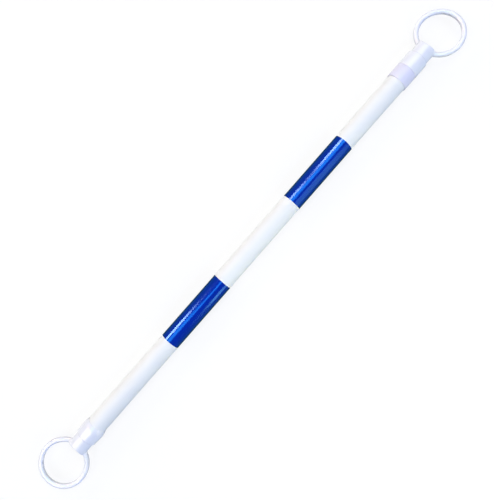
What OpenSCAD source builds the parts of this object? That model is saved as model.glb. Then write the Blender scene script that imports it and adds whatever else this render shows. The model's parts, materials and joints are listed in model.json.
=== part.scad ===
// Telescopic cone bar: a white pipe with two blue bands and a ring at each end that drops over a traffic cone.
// The bar lies along X with its sliding end at +X. The origin is the middle of the pushed-in bar, on its axis.
// The fixed ring lies flat, with its bore along Z. All sizes are in millimetres.

/* [Bar] */
// Length over both rings with the bar pushed in
retracted_len = 1200; // [900:10:1600]
// Room behind the stop plug when the bar is pushed in
end_room = 26.5; // [10:0.5:80]
// Seam between the sliding ring cap and the guide collar when the bar is pushed in
seam_gap = 0.3; // [0.1:0.1:2]
// Turn of the sliding ring about the bar, against the fixed ring, in degrees
sliding_turn = -11.5; // [-90:0.5:90]

/* [Pipes] */
// Outside diameter of the outer pipe
outer_d = 39; // [37.5:0.1:45]
// Wall of the outer pipe
outer_wall = 2; // [1.2:0.1:2.4]
// Outside diameter of the inner pipe
inner_d = 32; // [26:0.1:32.8]
// Wall of the inner pipe
inner_wall = 2; // [1.2:0.1:3]

/* [Blue bands] */
// Length of each band
band_len = 153.5; // [80:0.5:200]
// White stretch between the bands
band_gap = 201.5; // [60:0.5:260]
// White stretch between the guide collar and the nearer band
band_to_collar = 153.5; // [40:0.5:220]
// Thickness of the reflective film
film = 0.3; // [0.2:0.05:0.6]
// Width of the strip where the film laps over itself
film_lap = 9; // [4:0.5:20]

/* [Ring] */
// Bore of the ring
ring_bore_d = 80; // [60:1:110]
// Radial thickness of the ring
ring_rim = 9.5; // [7:0.1:14]
// Width of the ring along its own axis
ring_w = 10; // [8:0.1:16]
// Rounding of the ring's long edges
ring_edge = 2; // [0.5:0.1:3]

/* [Ring cap] */
// How far the neck's scooped end stands back from the ring's bore
neck_setback = 0.5; // [0.3:0.1:4]
// Outside diameter of the neck
neck_d = 38.5; // [34:0.1:40]
// Length of the neck from the middle of its scooped end to the collar
neck_len = 24.5; // [16:0.5:60]
// Wall of the neck
neck_wall = 2.8; // [1.8:0.1:5]
// Thickness left between the ring and the hollow of the neck
neck_end_wall = 1.5; // [1:0.1:4]
// Length of the collar that goes over the pipe
collar_len = 32.5; // [24:0.5:60]
// Wall of the collar round its socket
collar_wall = 2.2; // [1.8:0.1:5]
// Web between the neck and the bottom of the socket
socket_web = 3; // [2:0.1:6]
// How far the fixed cap's collar swells beyond its wall
collar_swell = 1.1; // [0.2:0.1:2]
// Length of the swollen collar's taper down to its mouth
swell_taper = 9; // [5:0.5:12]
// Wall of the swollen collar at its mouth
mouth_wall = 1.1; // [0.6:0.1:1.7]
// Bevel of the collars' other edges
collar_bevel = 0.8; // [0.2:0.1:1.2]
// Lip of the adapter sleeve that the inner pipe butts against
adapter_lip = 2.5; // [1.5:0.1:5]
// Distance of each cap's screw from the mouth of its collar
cap_screw_from_mouth = 15.5; // [14:0.1:17]

/* [Guide] */
// Length of the guide collar
guide_collar_len = 30; // [22:0.5:50]
// Wall of the guide collar round the outer pipe
guide_collar_wall = 2; // [1.8:0.1:4]
// Thickness of the guide collar's end lip
guide_lip = 4; // [2:0.1:6]
// Play between the guide collar's lip and the inner pipe
lip_play = 0.5; // [0.3:0.1:1]
// Length of the guide bush inside the outer pipe
guide_bush_len = 80; // [50:1:120]
// Thickness of the guide bush's flange
guide_flange = 2; // [1:0.1:4]
// Distance of the guide collar's screw from its inner edge
guide_screw_from_edge = 12; // [8:0.5:16]

/* [Stop] */
// Thickness of each flange of the stop plug
plug_flange = 5; // [3:0.1:8]
// Play between the plug's flanges and the outer pipe
plug_play = 0.4; // [0.3:0.05:0.7]
// Length of the plug's spigot in the inner pipe
spigot_len = 25; // [18:0.5:50]
// Wall of the hollow spigot
spigot_wall = 3.5; // [2:0.1:6]
// Width of the friction ring
friction_w = 12; // [6:0.1:20]
// Wall of the friction ring
friction_wall = 2.2; // [1.5:0.1:2.9]
// Slit of the friction ring
friction_slit = 4; // [1:0.1:10]
// Diameter of the cross pin
pin_d = 3; // [2:0.1:5]
// Distance of the cross pin from the end of the inner pipe
pin_from_end = 12; // [6:0.5:14]

/* [Screws] */
// Diameter of the screw shanks
screw_d = 2.9; // [2:0.1:3.5]
// Diameter of the screw heads
screw_head_d = 5.6; // [4.6:0.1:7]
// Rim of the screw heads above their countersink
screw_head_rim = 0.4; // [0.2:0.05:0.6]
// Depth of the heads below the collar
screw_sink = 0.35; // [0.25:0.05:0.5]
// How far a cap's screw reaches past the wall it bites
screw_bite = 2; // [0:0.1:5]
// Width of the slots of the cross recess
recess_w = 0.7; // [0.4:0.05:1]
// Length of the slots of the cross recess
recess_len = 3; // [2:0.1:3.8]
// Depth of the cross recess
recess_depth = 0.9; // [0.4:0.05:1.2]

/* [Clearances] */
// Radial gap between pieces that are pushed or glued together
fit_gap = 0.05; // [0.02:0.01:0.1]
// Radial gap between pieces that slide or turn
running_gap = 0.08; // [0.03:0.01:0.1]
// Gap at the end of a pushed-in piece, and beside a piece that turns in a groove
seat_gap = 0.1; // [0.05:0.05:0.3]
// Gap that is left between the stop plug and the guide bush at full length
stop_gap = 0.3; // [0.1:0.1:1]

/* [Hidden] */
$fn = 96;
// Overshoot of cutting shapes
cut = 1;

outer_r = outer_d / 2;
outer_bore_r = outer_r - outer_wall;
inner_r = inner_d / 2;
inner_bore_r = inner_r - inner_wall;

// Along a cap's axis, measured from the centre of its ring towards the bar
ring_bore_r = ring_bore_d / 2;
ring_r = ring_bore_r + ring_rim;
neck_from = ring_bore_r + neck_setback;
collar_from = neck_from + neck_len;
mouth_at = collar_from + collar_len;
socket_from = collar_from + socket_web;
hollow_from = ring_r + neck_end_wall;
socket_r = outer_r + fit_gap;
neck_r = neck_d / 2;
hollow_r = neck_r - neck_wall;
collar_r = socket_r + collar_wall;

// Along the bar, from the fixed end to the sliding end
ring_x = retracted_len / 2 - ring_r;
outer_from = -ring_x + socket_from + seat_gap;
guide_to = ring_x - mouth_at - seam_gap;
guide_from = guide_to - guide_collar_len;
flange_to = guide_to - guide_lip - seat_gap;
outer_to = flange_to - guide_flange - seat_gap;
guide_collar_r = outer_r + fit_gap + guide_collar_wall;
bush_from = flange_to - guide_flange - guide_bush_len;
near_sliding_from = guide_from - band_to_collar - band_len;
near_fixed_from = near_sliding_from - band_gap - band_len;
groove_w = friction_w + 2 * seat_gap;
plug_from = outer_from + end_room;
inner_from = plug_from + 2 * plug_flange + groove_w;
inner_to = ring_x - socket_from - adapter_lip - 2 * seat_gap;

// How far the inner pipe pulls out of the outer pipe
travel = bush_from - inner_from - stop_gap;
echo(travel = travel);

// Radii inside the outer pipe
plug_r = outer_bore_r - plug_play;
friction_r = outer_bore_r - running_gap;
friction_bore_r = friction_r - friction_wall;
groove_r = friction_bore_r - running_gap;
spigot_r = inner_bore_r - fit_gap;
bush_bore_r = inner_r + running_gap;

// Screws: the radius of their head tops from the bar's axis, and their lengths
cap_head_at = collar_r - screw_sink;
guide_head_at = guide_collar_r - screw_sink;
fixed_screw_len = cap_head_at - outer_bore_r + screw_bite;
sliding_screw_len = cap_head_at - inner_bore_r + screw_bite;
guide_screw_len = guide_head_at - bush_bore_r - seat_gap;
cap_screw_at = mouth_at - cap_screw_from_mouth;
guide_screw_x = guide_from + guide_screw_from_edge;
pin_x = inner_from + pin_from_end;

// Shared shapes

// Solids of revolution are drawn with their axis along the bar
module along_bar(from = 0) {
    translate([from, 0, 0])
        rotate([0, 90, 0])
            children();
}

// Straight tube, bevelled on its outer edges
module tube(from, to, r_out, r_in, bevel = 0) {
    len = to - from;
    along_bar(from)
        rotate_extrude()
            polygon([
                [r_in, 0], [r_out - bevel, 0], [r_out, bevel],
                [r_out, len - bevel], [r_out - bevel, len], [r_in, len]
            ]);
}

// Places a piece that points outwards on the underside of the bar
module underside(x, r) {
    translate([x, 0, -r])
        rotate([180, 0, 0])
            children();
}

// The sliding end is built like the fixed end, turned round and rolled about the bar
module sliding_end() {
    rotate([sliding_turn, 0, 0])
        translate([ring_x, 0, 0])
            rotate([0, 0, 180])
                children();
}

module fixed_end() {
    translate([-ring_x, 0, 0])
        children();
}

module turned() {
    rotate([sliding_turn, 0, 0])
        children();
}

// Outline of a screw or of its hole, with the head's top at zero and the shank below
module screw_outline(len, gap) {
    cone = (screw_head_d - screw_d) / 2;
    tip = screw_d / 2;
    polygon([
        [0, 0], [screw_head_d / 2 + gap, 0], [screw_head_d / 2 + gap, -screw_head_rim],
        [screw_d / 2 + gap, -screw_head_rim - cone], [screw_d / 2 + gap, -len + tip], [0, -len - gap]
    ]);
}

module screw(len) {
    difference() {
        rotate_extrude()
            screw_outline(len, 0);
        for (turn = [0, 90])
            rotate([0, 0, turn])
                translate([-recess_len / 2, -recess_w / 2, -recess_depth])
                    cube([recess_len, recess_w, recess_depth + cut]);
    }
}

// Hole for a screw, open outwards above the head
module screw_hole(len) {
    rotate_extrude()
        screw_outline(len, fit_gap);
    cylinder(r = screw_head_d / 2 + fit_gap, h = screw_sink + collar_swell + cut);
}

// Ring with rounded edges, its bore along Z and its centre at the origin
module ring() {
    half = ring_w / 2;
    rotate_extrude()
        union() {
            translate([ring_bore_r + ring_edge, -half])
                square([ring_rim - 2 * ring_edge, ring_w]);
            translate([ring_bore_r, ring_edge - half])
                square([ring_rim, ring_w - 2 * ring_edge]);
            for (r = [ring_bore_r + ring_edge, ring_r - ring_edge], z = [ring_edge - half, half - ring_edge])
                translate([r, z])
                    circle(r = ring_edge);
        }
}

// Neck whose end is scooped out round the ring's bore, so that a cone passes through
module neck() {
    difference() {
        along_bar()
            cylinder(r = neck_r, h = collar_from + cut);
        cylinder(r = neck_from, h = 2 * neck_r + 2 * cut, center = true);
    }
}

// Collar that swells towards the bar by swell and then tapers to a wall of end_wall at its mouth
module collar(swell, taper, end_wall) {
    along_bar(collar_from)
        rotate_extrude()
            polygon([
                [0, 0], [collar_r - collar_bevel, 0], [collar_r, collar_bevel],
                [collar_r + swell, collar_len - taper], [socket_r + end_wall, collar_len], [0, collar_len]
            ]);
}

// Moulded ring cap, its ring centred on the origin and its mouth towards +X
module ring_cap(swell, taper, end_wall, screw_len) {
    difference() {
        union() {
            ring();
            neck();
            collar(swell, taper, end_wall);
        }
        along_bar(hollow_from)
            cylinder(r = hollow_r, h = socket_from - hollow_from + cut);
        along_bar(socket_from)
            cylinder(r = socket_r, h = mouth_at - socket_from + cut);
        underside(cap_screw_at, cap_head_at)
            screw_hole(screw_len);
    }
}

// Film wrapped once round the outer pipe, its ends lapped on the underside
module band(from) {
    film_r = outer_r + fit_gap;
    lap_angle = film_lap / film_r * 180 / PI;
    tube(from, from + band_len, film_r + film, film_r);
    along_bar(from)
        rotate([0, 0, -lap_angle / 2])
            rotate_extrude(angle = lap_angle)
                translate([film_r + film / 2, 0])
                    square([1.5 * film, band_len]);
}

// Pieces of the outer tube

module outer_pipe() {
    color("white")
        difference() {
            tube(outer_from, outer_to, outer_r, outer_bore_r);
            fixed_end()
                underside(cap_screw_at, cap_head_at)
                    screw_hole(fixed_screw_len);
            underside(guide_screw_x, guide_head_at)
                screw_hole(guide_screw_len);
        }
}

module blue_band_near_fixed_end() {
    color("mediumblue")
        band(near_fixed_from);
}

module blue_band_near_sliding_end() {
    color("mediumblue")
        band(near_sliding_from);
}

module fixed_ring_cap() {
    color("ghostwhite")
        fixed_end()
            ring_cap(collar_swell, swell_taper, mouth_wall, fixed_screw_len);
}

module fixed_cap_screw() {
    color("silver")
        fixed_end()
            underside(cap_screw_at, cap_head_at)
                screw(fixed_screw_len);
}

module guide_collar() {
    color("lavender")
        difference() {
            tube(guide_from, guide_to, guide_collar_r, inner_r + lip_play, collar_bevel);
            along_bar(guide_from - cut)
                cylinder(r = outer_r + fit_gap, h = guide_collar_len - guide_lip + cut);
            underside(guide_screw_x, guide_head_at)
                screw_hole(guide_screw_len);
        }
}

module guide_collar_screw() {
    color("silver")
        underside(guide_screw_x, guide_head_at)
            screw(guide_screw_len);
}

module guide_bush() {
    color("gainsboro")
        difference() {
            union() {
                tube(bush_from, flange_to, outer_bore_r - fit_gap, bush_bore_r);
                tube(flange_to - guide_flange, flange_to, outer_r, bush_bore_r);
            }
            underside(guide_screw_x, guide_head_at)
                screw_hole(guide_screw_len);
        }
}

// Pieces that slide and turn in the outer tube

module friction_ring() {
    from = plug_from + plug_flange + seat_gap;
    color("dimgray")
        difference() {
            tube(from, from + friction_w, friction_r, friction_bore_r);
            translate([from - cut, -friction_slit / 2, 0])
                cube([friction_w + 2 * cut, friction_slit, friction_r + cut]);
        }
}

module inner_pipe() {
    color("white")
        difference() {
            tube(inner_from, inner_to, inner_r, inner_bore_r);
            sliding_end()
                underside(cap_screw_at, cap_head_at)
                    screw_hole(sliding_screw_len);
            turned()
                pin_hole();
        }
}

module sliding_ring_cap() {
    color("ghostwhite")
        sliding_end()
            ring_cap(0, collar_bevel, collar_wall - collar_bevel, sliding_screw_len);
}

module sliding_cap_screw() {
    color("silver")
        sliding_end()
            underside(cap_screw_at, cap_head_at)
                screw(sliding_screw_len);
}

module adapter_sleeve() {
    sleeve_from = socket_from + seat_gap;
    sleeve_to = mouth_at - seat_gap;
    bore_r = inner_r + fit_gap;
    color("gainsboro")
        sliding_end()
            difference() {
                tube(sleeve_from, sleeve_to, outer_r, inner_bore_r);
                along_bar(sleeve_from + adapter_lip)
                    cylinder(r = bore_r, h = sleeve_to - sleeve_from);
                underside(cap_screw_at, cap_head_at)
                    screw_hole(sliding_screw_len);
            }
}

module stop_plug() {
    second_flange = plug_from + plug_flange + groove_w;
    spigot_to = inner_from + spigot_len;
    color("gray")
        turned()
            difference() {
                union() {
                    tube(plug_from, plug_from + plug_flange, plug_r, 0, collar_bevel);
                    tube(plug_from, second_flange + plug_flange, groove_r, 0);
                    tube(second_flange, second_flange + plug_flange, plug_r, 0);
                    tube(second_flange, spigot_to, spigot_r, 0);
                }
                along_bar(second_flange)
                    cylinder(r = spigot_r - spigot_wall, h = spigot_to - second_flange + cut);
                pin_hole();
            }
}

module pin_hole() {
    translate([pin_x, 0, 0])
        rotate([90, 0, 0])
            cylinder(d = pin_d + 2 * fit_gap, h = 2 * inner_r + 2 * cut, center = true);
}

module stop_pin() {
    color("silver")
        turned()
            translate([pin_x, 0, 0])
                rotate([90, 0, 0])
                    cylinder(d = pin_d, h = 2 * inner_r - 4 * seat_gap, center = true);
}

outer_pipe();
blue_band_near_fixed_end();
blue_band_near_sliding_end();
fixed_ring_cap();
fixed_cap_screw();
guide_collar();
guide_collar_screw();
guide_bush();
friction_ring();
inner_pipe();
sliding_ring_cap();
sliding_cap_screw();
adapter_sleeve();
stop_plug();
stop_pin();
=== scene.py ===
"""Looks of a telescopic cone bar: white pipes, blue reflective bands and moulded ring caps.

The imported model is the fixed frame, in metres. Pipes, bands, guide collar and ring caps are modelled
smooth in the place of their nodes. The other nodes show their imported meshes, with their own materials.
"""
import json
import math

import bpy
from mathutils import Matrix, Vector


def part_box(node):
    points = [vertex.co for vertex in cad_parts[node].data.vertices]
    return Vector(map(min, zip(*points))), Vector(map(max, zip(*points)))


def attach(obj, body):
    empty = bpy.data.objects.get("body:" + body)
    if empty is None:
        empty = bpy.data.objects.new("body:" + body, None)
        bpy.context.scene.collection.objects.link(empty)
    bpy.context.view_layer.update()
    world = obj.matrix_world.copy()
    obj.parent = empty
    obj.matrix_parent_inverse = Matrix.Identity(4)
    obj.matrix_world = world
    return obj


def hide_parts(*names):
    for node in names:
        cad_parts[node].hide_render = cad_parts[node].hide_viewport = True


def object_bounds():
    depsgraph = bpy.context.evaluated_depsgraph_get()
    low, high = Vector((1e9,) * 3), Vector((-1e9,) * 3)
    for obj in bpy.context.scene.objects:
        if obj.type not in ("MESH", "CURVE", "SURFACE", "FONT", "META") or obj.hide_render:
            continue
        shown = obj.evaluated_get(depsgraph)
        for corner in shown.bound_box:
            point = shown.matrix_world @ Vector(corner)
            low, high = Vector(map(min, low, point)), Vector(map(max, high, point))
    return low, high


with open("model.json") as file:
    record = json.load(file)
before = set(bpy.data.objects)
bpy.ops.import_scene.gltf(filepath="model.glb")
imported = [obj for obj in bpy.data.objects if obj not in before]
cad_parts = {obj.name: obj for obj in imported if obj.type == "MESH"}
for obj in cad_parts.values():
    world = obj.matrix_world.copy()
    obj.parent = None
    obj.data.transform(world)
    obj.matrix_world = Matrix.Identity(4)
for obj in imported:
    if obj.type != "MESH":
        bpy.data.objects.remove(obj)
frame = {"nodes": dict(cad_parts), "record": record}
CAD_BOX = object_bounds()

MM = 0.001

# Places and sizes that the frame gives
MOUNTS = {mount["name"]: mount for mount in frame["record"]["mounts"]}
FIXED_RING_X = MOUNTS["fixed_ring"]["pos_m"][0]
SLIDING_RING_X = MOUNTS["sliding_ring"]["pos_m"][0]
SLIDING_UP = Vector(MOUNTS["sliding_ring"]["axis"])
SLIDING_TURN = math.atan2(-SLIDING_UP.y, SLIDING_UP.z)
BORE_R = MOUNTS["fixed_ring"]["dims"]["r_mm"] * MM
RING_R = FIXED_RING_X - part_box("fixed_ring_cap")[0].x
SWELL_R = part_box("fixed_ring_cap")[1].z
CAP_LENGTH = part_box("fixed_ring_cap")[1].x - FIXED_RING_X
PIPE_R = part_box("outer_pipe")[1].y
INNER_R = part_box("inner_pipe")[1].y
GUIDE_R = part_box("guide_collar")[1].y
FLOOR_Z = CAD_BOX[0].z

# Sizes of the mouldings and walls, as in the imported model
PIPE_WALL = 2 * MM
FIT_GAP = 0.05 * MM
RING_HALF_WIDTH = 5 * MM
NECK_FROM = 40.5 * MM
NECK_R = 19.25 * MM
COLLAR_FROM = 65 * MM
COLLAR_R = 21.75 * MM
SWELL_TAPER = 9 * MM
MOUTH_WALL = 1.1 * MM
SOCKET_WEB = 3 * MM
HOLLOW_FROM = 51 * MM
HOLLOW_R = 16.45 * MM
SOCKET_R = PIPE_R + FIT_GAP
GUIDE_LIP = 4 * MM
LIP_PLAY = 0.5 * MM
GUIDE_LIP_R = INNER_R + LIP_PLAY
FILM = 0.3 * MM
FILM_R = PIPE_R + FIT_GAP
FILM_LAP = 9 * MM
SCREW_SINK = 0.35 * MM
CAP_SCREW_FROM_MOUTH = 15.5 * MM
GUIDE_SCREW_FROM_EDGE = 12 * MM

# Softened edges, and the cutter for the hole over a screw's head
PIPE_EDGE = 0.3 * MM
CAP_EDGE = 0.5 * MM
COLLAR_EDGE = 1 * MM
GUIDE_EDGE = 0.7 * MM
RING_EDGE = 3.6 * MM
SCREW_HOLE_R = 2.9 * MM
SCREW_HOLE_DEPTH = 6 * MM
SCREW_HOLE_PAST_HEAD = 0.2 * MM

# Smoothing of a cap: all over, round the neck's scooped end, and where the ring meets the neck's sides
SMOOTHING = 0.5
CAP_PASSES = 3
NECK_END_PASSES = 18
NECK_END_REACH = 3.5 * MM
RING_SIDE_PASSES = 120
RING_SIDE_REACH = 9 * MM

# A film's outer end: the angle in radians over which it climbs onto its start, and how far it is askew
FILM_CLIMB = 0.12
FILM_SKEW = 0.4 * MM

# Fineness of the meshes, and the angles from which an edge is bevelled or shaded sharp
ROUND_STEPS = 160
SCOOP_STEPS = 256
HOLE_STEPS = 48
FILM_STEPS_ROUND = 220
FILM_STEPS_ALONG = 12
BACKDROP_STEPS = 128
CAP_VOXEL = 0.58 * MM
WELD = 0.001 * MM
BEVEL_ANGLE = math.radians(30)
SHARP_ANGLE = math.radians(35)

AXES = {"X": (1, 0, 0), "Z": (0, 0, 1)}
FULL_TURN = 2 * math.pi


# Modelling

def only(piece):
    """Select one piece and nothing else."""
    bpy.ops.object.select_all(action="DESELECT")
    piece.select_set(True)
    bpy.context.view_layer.objects.active = piece


def added(name):
    """Name the object that the last operator added."""
    piece = bpy.context.object
    piece.name = name
    piece.data.name = name
    return piece


def apply_modifier(piece, kind, **settings):
    """Add a modifier with these settings and apply it."""
    modifier = piece.modifiers.new(kind.lower(), kind)
    for name, value in settings.items():
        setattr(modifier, name, value)
    only(piece)
    bpy.ops.object.modifier_apply(modifier=modifier.name)


def round_edges(piece, width, segments=4):
    """Bevel the edges that are sharper than the bevel angle."""
    apply_modifier(piece, "BEVEL", width=width, segments=segments, limit_method="ANGLE",
                   angle_limit=BEVEL_ANGLE)


def combine(piece, tool, operation):
    """Join a tool to a piece or cut it away, and remove the tool."""
    apply_modifier(piece, "BOOLEAN", operation=operation, object=tool, solver="EXACT")
    bpy.data.objects.remove(tool)


def turned(name, outline, axis="X", closed=True):
    """Turn an outline of (along, radius) points round an axis, as on a lathe."""
    bpy.ops.object.select_all(action="DESELECT")
    bpy.ops.mesh.primitive_circle_add(vertices=len(outline), radius=PIPE_R)
    piece = added(name)
    for vertex, (along, radius) in zip(piece.data.vertices, outline):
        vertex.co = (along, 0, radius) if axis == "X" else (radius, 0, along)
    bpy.ops.object.mode_set(mode="EDIT")
    bpy.ops.mesh.select_mode(type="EDGE")
    if not closed:
        open_between(piece, 0, len(outline) - 1)
    bpy.ops.mesh.select_all(action="SELECT")
    bpy.ops.mesh.spin(steps=ROUND_STEPS, angle=FULL_TURN, center=(0, 0, 0), axis=AXES[axis])
    bpy.ops.mesh.select_all(action="SELECT")
    bpy.ops.mesh.remove_doubles(threshold=WELD)
    bpy.ops.mesh.normals_make_consistent(inside=False)
    bpy.ops.object.mode_set(mode="OBJECT")
    return piece


def open_between(piece, first, last):
    """Delete the edge between two vertices of an outline that starts and ends on its axis."""
    bpy.ops.mesh.select_all(action="DESELECT")
    bpy.ops.object.mode_set(mode="OBJECT")
    for edge in piece.data.edges:
        edge.select = set(edge.vertices) == {first, last}
    bpy.ops.object.mode_set(mode="EDIT")
    bpy.ops.mesh.delete(type="EDGE")


def tube(name, low, high, outside, inside, edge):
    """Straight tube along the bar with softened edges."""
    piece = turned(name, [(low, inside), (low, outside), (high, outside), (high, inside)])
    round_edges(piece, edge)
    return piece


def set_in_place(piece, matrix):
    """Move a finished mesh to its place and leave its object at the origin."""
    piece.matrix_world = matrix
    only(piece)
    bpy.ops.object.transform_apply(location=True, rotation=True, scale=True)


def finish_piece(piece, body, material, node):
    """Shade a piece smooth, dress it, and let it stand for its node."""
    only(piece)
    bpy.ops.object.shade_smooth_by_angle(angle=SHARP_ANGLE)
    piece.data.materials.clear()
    piece.data.materials.append(material)
    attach(piece, body)
    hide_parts(node)


# Materials

# Sockets of a Mix node for colours
MIX_SHARE = 0
MIX_FIRST = 6
MIX_SECOND = 7
MIX_RESULT = 2


class Signal:
    """A socket of a material's nodes that takes part in arithmetic."""

    def __init__(self, finish, socket):
        self.finish = finish
        self.socket = socket

    def math(self, operation, first, second):
        return self.finish.node("ShaderNodeMath", {"operation": operation}, {0: first, 1: second})

    def __add__(self, other):
        return self.math("ADD", self, other)

    def __sub__(self, other):
        return self.math("SUBTRACT", self, other)

    def __rsub__(self, other):
        return self.math("SUBTRACT", other, self)

    def __mul__(self, other):
        return self.math("MULTIPLY", self, other)

    def __pow__(self, other):
        return self.math("POWER", self, other)

    def __abs__(self):
        return self.math("ABSOLUTE", self, 0)

    def at_most(self, other):
        return self.math("MINIMUM", self, other)

    def at_least(self, other):
        return self.math("MAXIMUM", self, other)

    __radd__ = __add__
    __rmul__ = __mul__


class Finish:
    """A procedural material on object coordinates."""

    def __init__(self, name, constants=None):
        self.material = bpy.data.materials.new(name)
        self.material.use_nodes = True
        self.tree = self.material.node_tree
        self.shader = self.tree.nodes["Principled BSDF"]
        self.place = self.node("ShaderNodeTexCoord", output="Object")
        self.show(constants or {})

    def node(self, kind, settings=None, sockets=None, output=0):
        """Add a node with its settings, then the values or links of its sockets."""
        made = self.tree.nodes.new(kind)
        for name, value in (settings or {}).items():
            setattr(made, name, value)
        for name, value in (sockets or {}).items():
            self.feed(made.inputs[name], value)
        return Signal(self, made.outputs[output])

    def feed(self, socket, value):
        """Link a signal to a socket, or set the socket to a value."""
        if isinstance(value, Signal):
            self.tree.links.new(value.socket, socket)
        else:
            socket.default_value = value

    def noise(self, size, stretch=(1, 1, 1), detail=3):
        """Noise from 0 to 1 with spots of about this size, drawn out along an axis by its stretch."""
        scale = [1 / length for length in stretch]
        spread = self.node("ShaderNodeMapping", sockets={"Vector": self.place, "Scale": scale})
        spots = {"Vector": spread, "Scale": 1 / size, "Detail": detail}
        return self.node("ShaderNodeTexNoise", sockets=spots)

    def ramp(self, value, low, high, at_low=0.0, at_high=1.0):
        """Smooth step of a value between two limits."""
        limits = {"Value": value, "From Min": low, "From Max": high, "To Min": at_low, "To Max": at_high}
        return self.node("ShaderNodeMapRange", {"interpolation_type": "SMOOTHSTEP"}, limits)

    def mix(self, share, first, second):
        """Mix two colours."""
        colours = {MIX_SHARE: share, MIX_FIRST: first, MIX_SECOND: second}
        return self.node("ShaderNodeMix", {"data_type": "RGBA"}, colours, output=MIX_RESULT)

    def part(self, vector, axis):
        """The X, Y or Z of a vector."""
        return self.node("ShaderNodeSeparateXYZ", sockets={"Vector": vector}, output=axis)

    def bump(self, height):
        """Raise the surface by a height in millimetres."""
        self.show({"Normal": self.node("ShaderNodeBump", sockets={"Height": height, "Distance": MM})})

    def show(self, looks):
        """Give sockets of the shader their values or links, and return the material."""
        for socket, value in looks.items():
            self.feed(self.shader.inputs[socket], value)
        return self.material


def colour(red, green, blue):
    """An opaque colour."""
    return (red, green, blue, 1)


# Colours of the finishes. The two of a pair are mottled together.
PIPE_CLEAR = colour(0.92, 0.92, 0.92)
PIPE_SCUFFED = colour(0.62, 0.62, 0.62)
INNER_CLEAR = colour(0.88, 0.88, 0.89)
INNER_SCUFFED = colour(0.55, 0.55, 0.55)
DEEP_BLUE = colour(0.005, 0.036, 0.80)
BRIGHT_BLUE = colour(0.006, 0.043, 0.94)
SCRATCHED_BLUE = colour(0.10, 0.20, 0.65)
WORN_BLUE = colour(0.35, 0.42, 0.60)
CAP_WHITE = (colour(0.88, 0.885, 0.955), colour(0.85, 0.86, 0.945))
COLLAR_LAVENDER = (colour(0.81, 0.79, 0.94), colour(0.78, 0.765, 0.93))
RUBBED_GREY = colour(0.55, 0.57, 0.62)
NATURAL_NYLON = (colour(0.80, 0.79, 0.74), colour(0.76, 0.75, 0.70))
GREY_NYLON = (colour(0.22, 0.22, 0.23), colour(0.19, 0.19, 0.20))
ZINC = (colour(0.60, 0.60, 0.62), colour(0.72, 0.71, 0.68))
STUDIO_GREY = colour(0.2, 0.2, 0.2)
UNLIFTED = colour(0, 0, 0)
LIFTED = colour(1, 1, 1)

# How bright a pipe's cloudy places are, the gloss of the mouldings, and the size of a film's cells
PIPE_CLOUDED = 0.975
CAP_GLOSS = 0.3
COLLAR_GLOSS = 0.12
FILM_CELL = 1.1 * MM


def drawn_pipe(name, white, scuffed, rub):
    """Extruded white pipe: faint draw lines along it, a little cloudiness and rub marks."""
    finish = Finish(name, {"Specular IOR Level": 0.08})
    cloud = finish.noise(60 * MM)
    lines = finish.noise(0.8 * MM, stretch=(400, 1, 1))
    peel = finish.noise(2.5 * MM)
    patches = finish.ramp(finish.noise(45 * MM, stretch=(3, 1, 1), detail=5), 0.56, 0.75)
    hairs = finish.ramp(finish.noise(0.7 * MM, stretch=(60, 1, 1), detail=2), 0.6, 0.72)
    scuff = patches * hairs * rub
    clouded = colour(*[channel * PIPE_CLOUDED for channel in white[:3]])
    clean = finish.mix(cloud, white, clouded)
    finish.bump(0.012 * lines + 0.012 * peel - 0.03 * scuff)
    return finish.show({
        "Base Color": finish.mix(scuff, clean, scuffed),
        "Roughness": 0.45 + 0.08 * cloud + 0.2 * scuff,
    })


def reflective_film(name, low, high):
    """Blue reflective film: fine cells under a clear tinted face, faint streaks and worn cut ends."""
    finish = Finish(name, {
        "Metallic": 0.14,
        "Specular IOR Level": 0.4,
        "Specular Tint": colour(0.62, 1, 1),
        "Coat Weight": 1,
        "Coat Roughness": 0.12,
        "Coat IOR": 1.02,
        "Coat Tint": colour(0.28, 0.60, 0.48),
    })
    along = finish.part(finish.place, "X")
    cells = finish.node("ShaderNodeTexVoronoi", {"feature": "DISTANCE_TO_EDGE"},
                        {"Vector": finish.place, "Scale": 1 / FILM_CELL})
    cell = finish.ramp(cells, 0.02, 0.14)
    wave = finish.noise(12 * MM, stretch=(8, 1, 1))
    streak = finish.noise(1.5 * MM, stretch=(50, 1, 1))
    grain = finish.noise(0.5 * MM, detail=1)
    end = (along - low).at_most(high - along)
    worn = finish.ramp(end, 0.2 * MM, 1.6 * MM, 1.0, 0.0) * finish.ramp(finish.noise(3 * MM), 0.45, 0.7)
    scratch = finish.ramp(finish.noise(0.6 * MM, stretch=(40, 1, 1)), 0.66, 0.74)
    scratch = scratch * finish.ramp(finish.noise(30 * MM), 0.5, 0.7)
    blue = finish.mix(0.6 * cell + 0.4 * streak, DEEP_BLUE, BRIGHT_BLUE)
    blue = finish.mix(0.3 * scratch, blue, SCRATCHED_BLUE)
    finish.bump(0.003 * wave + 0.0001 * cell + 0.0001 * grain)
    return finish.show({
        "Base Color": finish.mix(0.5 * worn, blue, WORN_BLUE),
        "Roughness": 0.12 + 0.03 * grain + 0.25 * worn + 0.1 * scratch,
    })


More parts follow.
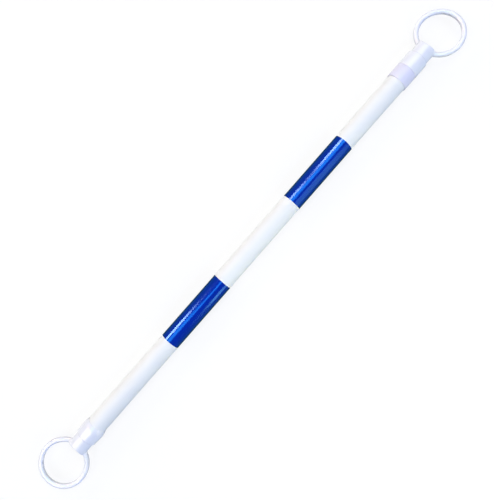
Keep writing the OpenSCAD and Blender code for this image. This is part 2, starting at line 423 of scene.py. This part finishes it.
def moulded(name, tint, shade, gloss, to_cap=None):
    """Satin moulded plastic. On a cap, also the mould's parting line and marks where cones rub the ring."""
    finish = Finish(name, {"Specular IOR Level": gloss})
    cloud = finish.noise(18 * MM)
    peel = finish.noise(1.2 * MM)
    hairs = finish.ramp(finish.noise(0.9 * MM, stretch=(1, 14, 14), detail=2), 0.62, 0.72)
    scuff = hairs * finish.ramp(finish.noise(14 * MM), 0.5, 0.7)
    height = 0.006 * peel - 0.02 * scuff
    if to_cap:
        on_cap = finish.node("ShaderNodeMapping", sockets={"Vector": finish.place, **to_cap})
        x, y, z = [finish.part(on_cap, axis) for axis in "XYZ"]
        from_axis = (x * x + y * y) ** 0.5
        rubbed = finish.ramp(from_axis, BORE_R + 0.5 * MM, BORE_R + 2.5 * MM, 1.0, 0.0)
        scuff = scuff + rubbed * finish.ramp(finish.noise(6 * MM, detail=6), 0.5, 0.7)
        parting_line = finish.ramp(abs(z), 0.1 * MM, 0.3 * MM, 1.0, 0.0)
        height = height + 0.15 * parting_line
    body = finish.mix(cloud, tint, shade)
    finish.bump(height)
    return finish.show({
        "Base Color": finish.mix(0.3 * scuff, body, RUBBED_GREY),
        "Roughness": 0.11 + 0.05 * cloud + 0.2 * scuff,
    })


def plain_moulding(name, tint, shade, roughness):
    """Matt moulding of the hidden pieces."""
    finish = Finish(name)
    cloud = finish.noise(6 * MM)
    peel = finish.noise(0.6 * MM)
    finish.bump(0.04 * peel)
    return finish.show({"Base Color": finish.mix(cloud, tint, shade), "Roughness": roughness + 0.12 * peel})


def plated_steel(name):
    """Zinc plated screw steel, a little mottled."""
    finish = Finish(name, {"Metallic": 1})
    spangle = finish.noise(0.7 * MM)
    grain = finish.noise(0.15 * MM)
    finish.bump(0.01 * grain)
    return finish.show({"Base Color": finish.mix(spangle, *ZINC), "Roughness": 0.28 + 0.15 * spangle})


def studio_white(name, lift):
    """Matt white of floor and backdrop, lifted where it is seen, mirrored or looked at through a piece."""
    finish = Finish(name, {
        "Base Color": STUDIO_GREY,
        "Roughness": 1,
        "Specular IOR Level": 0,
        "Emission Strength": lift,
    })
    seen, mirrored, through = [finish.node("ShaderNodeLightPath", output=ray)
                               for ray in ("Is Camera Ray", "Is Glossy Ray", "Is Transmission Ray")]
    shown = seen.at_least(mirrored).at_least(through)
    return finish.show({"Emission Color": finish.mix(shown, UNLIFTED, LIFTED)})


# Pieces

def cap_body(name, collar_points):
    """Neck and collar of a cap, hollow behind its solid end, with the ring's centre at the origin."""
    neck_from = BORE_R / 2
    socket_from = COLLAR_FROM + SOCKET_WEB
    outline = [(neck_from, 0), (neck_from, NECK_R), (COLLAR_FROM, NECK_R)]
    outline += [(COLLAR_FROM, COLLAR_R - COLLAR_EDGE), (COLLAR_FROM + COLLAR_EDGE, COLLAR_R)]
    outline += collar_points
    outline += [(CAP_LENGTH, SOCKET_R), (socket_from, SOCKET_R), (socket_from, HOLLOW_R)]
    outline += [(HOLLOW_FROM, HOLLOW_R), (HOLLOW_FROM, 0)]
    body = turned(name, outline, closed=False)
    round_edges(body, CAP_EDGE, segments=2)
    combine(body, scoop(), "DIFFERENCE")
    return body


def scoop():
    """Cutter for the neck's end, which leaves the ring's bore open."""
    through_neck = 3 * NECK_R
    bpy.ops.object.select_all(action="DESELECT")
    bpy.ops.mesh.primitive_cylinder_add(vertices=SCOOP_STEPS, radius=NECK_FROM, depth=through_neck)
    return added("scoop")


def ring(name):
    """Round-edged ring, flat, with its bore along Z."""
    low, high = -RING_HALF_WIDTH, RING_HALF_WIDTH
    piece = turned(name, [(low, BORE_R), (low, RING_R), (high, RING_R), (high, BORE_R)], axis="Z")
    round_edges(piece, RING_EDGE, segments=8)
    return piece


def smooth_near(piece, passes, reach, distance):
    """Smooth a piece where a distance, worked out for each point, is below a reach."""
    group = piece.vertex_groups.new(name="near")
    for vertex in piece.data.vertices:
        group.add([vertex.index], max(1 - distance(*vertex.co) / reach, 0), "REPLACE")
    apply_modifier(piece, "SMOOTH", factor=SMOOTHING, iterations=passes, vertex_group="near")
    piece.vertex_groups.clear()


def blend_ring_into_neck(piece):
    """Soften a cap all over, round the neck's scooped end, and fillet the ring into the neck's sides."""
    meet_y = math.sqrt(NECK_R ** 2 - RING_HALF_WIDTH ** 2)
    meet_from = math.sqrt(BORE_R ** 2 - meet_y ** 2)
    meet_to = math.sqrt(RING_R ** 2 - meet_y ** 2) - RING_HALF_WIDTH

    def from_end(x, y, z):
        return abs(math.hypot(x, y) - NECK_FROM) if x > abs(y) else BORE_R

    def from_side(x, y, z):
        past = max(meet_from - x, x - meet_to, 0)
        return Vector((past, abs(y) - meet_y, abs(z) - RING_HALF_WIDTH)).length

    apply_modifier(piece, "SMOOTH", factor=SMOOTHING, iterations=CAP_PASSES)
    smooth_near(piece, NECK_END_PASSES, NECK_END_REACH, from_end)
    smooth_near(piece, RING_SIDE_PASSES, RING_SIDE_REACH, from_side)


def cut_screw_hole(piece, at, head_at):
    """Cut the hole over a screw's head, on the underside, and dissolve the empty faces that it leaves."""
    hole_z = -head_at - SCREW_HOLE_DEPTH / 2 + SCREW_HOLE_PAST_HEAD
    bpy.ops.object.select_all(action="DESELECT")
    bpy.ops.mesh.primitive_cylinder_add(vertices=HOLE_STEPS, radius=SCREW_HOLE_R, depth=SCREW_HOLE_DEPTH,
                                        location=(at, 0, hole_z))
    combine(piece, added("screw_hole"), "DIFFERENCE")
    bpy.ops.object.mode_set(mode="EDIT")
    bpy.ops.mesh.select_all(action="SELECT")
    bpy.ops.mesh.dissolve_degenerate(threshold=WELD)
    bpy.ops.object.mode_set(mode="OBJECT")


def ring_cap(name, collar_points):
    """Moulded cap with its ring at the origin and its mouth towards +X."""
    cap = cap_body(name, collar_points)
    combine(cap, ring(name + "_ring"), "UNION")
    apply_modifier(cap, "REMESH", mode="VOXEL", voxel_size=CAP_VOXEL)
    blend_ring_into_neck(cap)
    cut_screw_hole(cap, CAP_LENGTH - CAP_SCREW_FROM_MOUTH, COLLAR_R - SCREW_SINK)
    return cap


def wrapped_film(name, low, high):
    """Film wrapped once round the pipe, its outer end lapped over its start on the underside."""
    overlap = FILM_LAP / FILM_R
    bpy.ops.object.select_all(action="DESELECT")
    bpy.ops.mesh.primitive_grid_add(x_subdivisions=FILM_STEPS_ROUND, y_subdivisions=FILM_STEPS_ALONG,
                                    size=2)
    film = added(name)
    for vertex in film.data.vertices:
        round_share = (vertex.co.x + 1) / 2
        along_share = (vertex.co.y + 1) / 2
        turn = round_share * (FULL_TURN + overlap)
        step = min(max((turn - FULL_TURN + FILM_CLIMB) / FILM_CLIMB, 0), 1)
        radius = FILM_R + (FILM + FIT_GAP) * step * step * (3 - 2 * step)
        angle = turn - math.pi / 2 - overlap / 2
        straight_along = low + FILM_SKEW + (high - low - 2 * FILM_SKEW) * along_share
        along = straight_along + FILM_SKEW * (round_share - 0.5)
        vertex.co = (along, radius * math.cos(angle), radius * math.sin(angle))
    first = film.data.polygons[0]
    if first.normal.dot(Vector((0, *first.center[1:]))) < 0:
        film.data.flip_normals()
    apply_modifier(film, "SOLIDIFY", thickness=FILM, offset=1)
    return film


def guide_collar(name, low, high):
    """Collar over the outer pipe's mouth, with a lip round the inner pipe."""
    lip_from = high - GUIDE_LIP
    outline = [(low, SOCKET_R), (low, GUIDE_R), (high, GUIDE_R), (high, GUIDE_LIP_R)]
    outline += [(lip_from, GUIDE_LIP_R), (lip_from, SOCKET_R)]
    collar = turned(name, outline)
    round_edges(collar, GUIDE_EDGE)
    return collar


# Camera, floor and light

# The photograph looks almost straight down on the bar, which runs up to the right across the picture.
IMAGE_LONG_SIDE = 500
FOCAL_PIXELS = 578
SENSOR_WIDTH = 36
BAR_ANGLE = math.radians(48.82)
CAMERA_LEAN = math.radians(2.7)
CAMERA_OVER = Vector((-9.5, 4.3, 1115)) * MM

# Studio, in metres
STUDIO_SIZE = 24
STUDIO_HEIGHT = 6
FLOOR_MARGIN = 1
FLOOR_LIFT = 0.82
BACKDROP_LIFT = 0.5
ROOM_LEVEL = 0.24
ROOM_TINT = (0.74, 0.86, 1.0)

# Soft light: a ceiling with a gap over the bar's middle, and panels that face the bar
BAR = (0, 0, 0)
CEILING = 2.6
CEILING_END = 2.4
CEILING_NEAR = -0.22
CEILING_FAR = 1.2
GAP_FROM = -0.53
GAP_TO = 0.15
KEY_TINT = (1.0, 0.975, 0.94)
WINDOW_TINT = (0.37, 0.53, 1.0)
FILL_TINT = (1.0, 0.95, 0.3)
CEILING_LIGHT = {"radiance": 2.4, "tint": KEY_TINT}

# Panels just under the ceiling that the pipe and bands, the caps and the left ring mirror
SHINE_DROP = 0.05
SHINE_END = 1.3
SHINE_FAR = 4
CAP_SHINE_END = 1.74
BAR_SHINE = {"radiance": 8, "tint": (0.24, 1.0, 0.86)}
CAP_SHINE = {"radiance": 5, "tint": (1.0, 0.92, 0.5)}
RING_SHINE = {"radiance": 13, "tint": (1.0, 0.78, 0.42)}

# Lamps along the bar that the bands mirror: tubes as a bright line, sheens as a faint one
LAMP_AWAY = 2.2
TUBE_RADIANCE = 102
TUBE_LAMP = {"width": 0.85, "tint": (1.0, 0.41, 0.22)}
SHEEN_TINT = (1.0, 0.78, 0.36)


def add_object(name, data):
    """Put a camera or a light into the scene."""
    made = bpy.data.objects.new(name, data)
    bpy.context.scene.collection.objects.link(made)
    return made


def add_camera():
    """Camera of the photograph, over the bar."""
    data = bpy.data.cameras.new("photo_camera")
    camera = add_object("photo_camera", data)
    data.sensor_width = SENSOR_WIDTH
    data.lens = FOCAL_PIXELS / IMAGE_LONG_SIDE * data.sensor_width
    lean = Matrix.Rotation(CAMERA_LEAN, 4, "X")
    aim = Matrix.Rotation(-BAR_ANGLE, 4, "Z")
    camera.matrix_world = lean @ Matrix.Translation(CAMERA_OVER) @ aim
    bpy.context.scene.camera = camera


def add_panel(name, place, aim, size, radiance, tint):
    """Rectangular light of even radiance that faces a point."""
    data = bpy.data.lights.new(name, "AREA")
    panel = add_object(name, data)
    data.shape = "RECTANGLE"
    data.size, data.size_y = size
    data.energy = radiance * math.pi * size[0] * size[1]
    data.color = tint
    panel.location = place
    panel.rotation_euler = (Vector(aim) - Vector(place)).to_track_quat("-Z", "Y").to_euler()
    panel.visible_camera = False
    return panel


def add_soft(*place_and_size, **look):
    """Panel that glossy surfaces don't mirror."""
    add_panel(*place_and_size, **look).visible_glossy = False


def add_shine(*place_and_size, **look):
    """Panel that only glossy surfaces show."""
    add_panel(*place_and_size, **look).visible_diffuse = False


def overhead(left, right, near=CEILING_NEAR, far=CEILING_FAR, drop=0):
    """Place, aim and size of a level panel at the ceiling, from its reach along the bar and across it."""
    place = Vector(((left + right) / 2, (near + far) / 2, CEILING - drop))
    return place, place - Vector((0, 0, 1)), (right - left, far - near)


def add_overhead_shine(name, look, **reach):
    """Shining panel just under the ceiling."""
    add_shine(name, *overhead(**reach, drop=SHINE_DROP), **look)


def add_lamp(name, left, right, angle, width, radiance, tint):
    """Shining panel along the bar, at an angle in degrees from straight above."""
    turn = math.radians(angle)
    place = Vector(((left + right) / 2, LAMP_AWAY * math.sin(turn), LAMP_AWAY * math.cos(turn)))
    add_shine(name, place, (place.x, 0, 0), (right - left, width), radiance=radiance, tint=tint)


def add_lights():
    """Soft light on the bar, then the panels and lamps that its glossy surfaces mirror."""
    add_soft("ceiling_left", *overhead(-CEILING_END, GAP_FROM), **CEILING_LIGHT)
    add_soft("ceiling_right", *overhead(GAP_TO, CEILING_END), **CEILING_LIGHT)
    add_soft("wall", place=(0, 2.6, 1.3), aim=BAR, size=(5.0, 1.8), radiance=2.15, tint=KEY_TINT)
    add_soft("wall_foot", place=(0, 2.4, 0.35), aim=BAR, size=(5.0, 0.6), radiance=1.2, tint=KEY_TINT)
    add_soft("window", place=(0.1, -2.2, 1.75), aim=BAR, size=(3.0, 1.8), radiance=3, tint=WINDOW_TINT)
    add_soft("fill", place=(0.03, -0.7, 0.2), aim=(0.03, 0, 0), size=(0.4, 0.3), radiance=5, tint=FILL_TINT)
    add_overhead_shine("ring_shine_left", RING_SHINE, left=-2.6, right=-CAP_SHINE_END,
                       near=-0.6, far=SHINE_FAR)
    add_overhead_shine("cap_shine_left", CAP_SHINE, left=-CAP_SHINE_END, right=-SHINE_END,
                       near=-0.3, far=SHINE_FAR)
    add_overhead_shine("shine_left", BAR_SHINE, left=-SHINE_END, right=GAP_FROM)
    add_overhead_shine("shine_middle", BAR_SHINE, left=GAP_FROM, right=GAP_TO, far=0.38)
    add_overhead_shine("shine_right", BAR_SHINE, left=GAP_TO, right=SHINE_END)
    add_overhead_shine("cap_shine_right", CAP_SHINE, left=SHINE_END, right=CEILING_END,
                       near=-0.45, far=SHINE_FAR)
    add_lamp("tube_left", left=-0.80, right=-0.505, angle=46.5, radiance=TUBE_RADIANCE, **TUBE_LAMP)
    add_lamp("tube_right_near", left=0.30, right=0.46, angle=35, radiance=0.75 * TUBE_RADIANCE, **TUBE_LAMP)
    add_lamp("tube_right_far", left=0.635, right=0.88, angle=38, radiance=0.9 * TUBE_RADIANCE, **TUBE_LAMP)
    add_lamp("sheen_left", left=-0.40, right=-0.23, angle=-66, width=1.1, radiance=13.5, tint=SHEEN_TINT)
    add_lamp("sheen_right", left=0.30, right=0.84, angle=-60, width=2.5, radiance=4.5, tint=SHEEN_TINT)


def add_studio():
    """White floor and round backdrop in a dim room."""
    bpy.ops.object.select_all(action="DESELECT")
    bpy.ops.mesh.primitive_plane_add(size=STUDIO_SIZE + FLOOR_MARGIN, location=(0, 0, FLOOR_Z))
    floor = added("floor")
    backdrop_middle = (0, 0, FLOOR_Z + STUDIO_HEIGHT / 2)
    bpy.ops.object.select_all(action="DESELECT")
    bpy.ops.mesh.primitive_cylinder_add(vertices=BACKDROP_STEPS, radius=STUDIO_SIZE / 2,
                                        depth=STUDIO_HEIGHT, end_fill_type="NOTHING",
                                        location=backdrop_middle)
    backdrop = added("backdrop")
    for surface, lift in ((floor, FLOOR_LIFT), (backdrop, BACKDROP_LIFT)):
        surface.data.materials.append(studio_white(surface.name + "_white", lift))
    world = bpy.data.worlds.new("room")
    bpy.context.scene.world = world
    world.use_nodes = True
    room = world.node_tree.nodes["Background"]
    room.inputs["Color"].default_value = colour(*ROOM_TINT)
    room.inputs["Strength"].default_value = ROOM_LEVEL


add_camera()
add_studio()
add_lights()
bpy.context.scene.view_settings.view_transform = "Standard"


# Build

PIPE_WHITE = drawn_pipe("outer_pipe_white", PIPE_CLEAR, PIPE_SCUFFED, rub=0.3)
INNER_WHITE = drawn_pipe("inner_pipe_white", INNER_CLEAR, INNER_SCUFFED, rub=0.9)
TO_FIXED_CAP = {"Location": (-FIXED_RING_X, 0, 0)}
TO_SLIDING_CAP = {"Location": (-SLIDING_RING_X, 0, 0), "Rotation": (-SLIDING_TURN, 0, 0)}
FIXED_WHITE = moulded("fixed_cap_white", *CAP_WHITE, CAP_GLOSS, TO_FIXED_CAP)
SLIDING_WHITE = moulded("sliding_cap_white", *CAP_WHITE, CAP_GLOSS, TO_SLIDING_CAP)
LAVENDER = moulded("guide_collar_lavender", *COLLAR_LAVENDER, COLLAR_GLOSS)
STEEL = plated_steel("zinc_plated_steel")
NATURAL = plain_moulding("natural_nylon", *NATURAL_NYLON, roughness=0.4)
GREY = plain_moulding("grey_nylon", *GREY_NYLON, roughness=0.5)

pipe_low, pipe_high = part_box("outer_pipe")
pipe = tube("smooth_outer_pipe", pipe_low.x, pipe_high.x, PIPE_R, PIPE_R - PIPE_WALL, PIPE_EDGE)
finish_piece(pipe, "outer_tube", PIPE_WHITE, "outer_pipe")

inner_low, inner_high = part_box("inner_pipe")
inner = tube("smooth_inner_pipe", inner_low.x, inner_high.x, INNER_R, INNER_R - PIPE_WALL, PIPE_EDGE)
finish_piece(inner, "inner_tube", INNER_WHITE, "inner_pipe")

for band_node in ("blue_band_near_fixed_end", "blue_band_near_sliding_end"):
    band_low, band_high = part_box(band_node)
    film = wrapped_film("film_" + band_node, band_low.x, band_high.x)
    blue = reflective_film("film_finish_" + band_node, band_low.x, band_high.x)
    finish_piece(film, "outer_tube", blue, band_node)

guide_low, guide_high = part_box("guide_collar")
collar = guide_collar("smooth_guide_collar", guide_low.x, guide_high.x)
cut_screw_hole(collar, guide_low.x + GUIDE_SCREW_FROM_EDGE, GUIDE_R - SCREW_SINK)
finish_piece(collar, "outer_tube", LAVENDER, "guide_collar")

swollen = [(CAP_LENGTH - SWELL_TAPER, SWELL_R), (CAP_LENGTH, SOCKET_R + MOUTH_WALL)]
fixed_cap = ring_cap("moulded_fixed_cap", swollen)
set_in_place(fixed_cap, Matrix.Translation((FIXED_RING_X, 0, 0)))
finish_piece(fixed_cap, "outer_tube", FIXED_WHITE, "fixed_ring_cap")

straight = [(CAP_LENGTH, COLLAR_R)]
sliding_cap = ring_cap("moulded_sliding_cap", straight)
facing = Matrix.Translation((SLIDING_RING_X, 0, 0)) @ Matrix.Rotation(math.pi, 4, "Z")
set_in_place(sliding_cap, Matrix.Rotation(SLIDING_TURN, 4, "X") @ facing)
finish_piece(sliding_cap, "inner_tube", SLIDING_WHITE, "sliding_ring_cap")

KEPT_NODES = {
    "fixed_cap_screw": STEEL, "guide_collar_screw": STEEL, "sliding_cap_screw": STEEL, "stop_pin": STEEL,
    "guide_bush": NATURAL, "adapter_sleeve": NATURAL, "friction_ring": GREY, "stop_plug": GREY,
}
for node, material in KEPT_NODES.items():
    for material_slot in frame["nodes"][node].material_slots:
        material_slot.material = material
